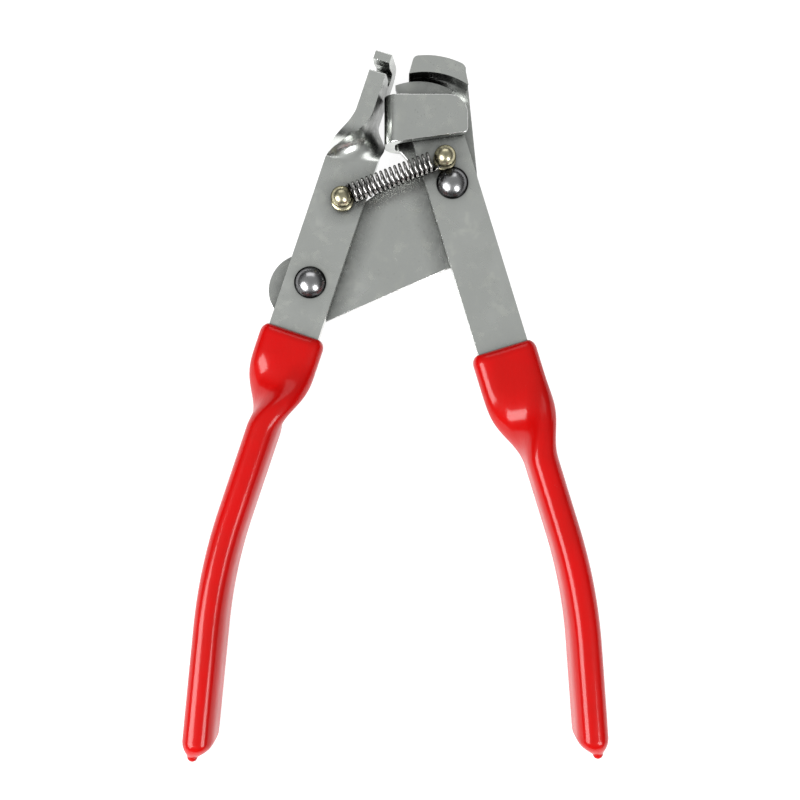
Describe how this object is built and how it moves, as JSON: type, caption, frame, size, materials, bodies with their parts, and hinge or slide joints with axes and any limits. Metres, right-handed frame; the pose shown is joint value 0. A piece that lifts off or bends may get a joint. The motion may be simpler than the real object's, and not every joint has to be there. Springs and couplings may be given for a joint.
{
  "type": "cable pulling pliers",
  "caption": "Two-lever hand tool that grips a control cable in a notched nose and pulls it through a folded steel plate, with a return spring and dipped grips",
  "frame": {"origin": "middle of the bottom of the bounding box, with the tool lying on its back", "axes": "+X to the right handle, +Y along the tool towards its head, +Z out of the front, towards the spring"},
  "size_m": [0.1253, 0.208, 0.0205],
  "materials": {
    "zinc_steel": "satin zinc plate on flat bar and sheet, slightly mottled",
    "rivet_steel": "polished dark rivet heads",
    "yellow_zinc": "bright yellow zinc plate",
    "spring_steel": "bright drawn wire",
    "red_vinyl": "glossy dipped vinyl"
  },
  "bodies": {
    "body": {"body_plate": "zinc_steel", "left_pivot_rivet": "rivet_steel", "right_pivot_rivet": "rivet_steel", "return_spring": "spring_steel"},
    "left_lever": {"left_lever": "zinc_steel", "left_grip": "red_vinyl", "left_spring_post": "yellow_zinc"},
    "right_lever": {"right_lever": "zinc_steel", "right_grip": "red_vinyl", "right_spring_post": "yellow_zinc"}
  },
  "joints": [
    {"name": "left_pivot", "type": "hinge", "parent": "body", "child": "left_lever", "pos_m": [-0.0248, 0.0368, 0.01], "axis": [0, 0, 1], "range_deg": [0, 25], "stiffness_Nm_per_rad": 0.41, "springref_deg": -41.83, "deforming": ["return_spring"]},
    {"name": "right_pivot", "type": "hinge", "parent": "body", "child": "right_lever", "pos_m": [0.0172, 0.0662, 0.01], "axis": [0, 0, -1], "range_deg": [0, 15], "stiffness_Nm_per_rad": 0.076, "springref_deg": -97.4, "deforming": ["return_spring"]}
  ]
}
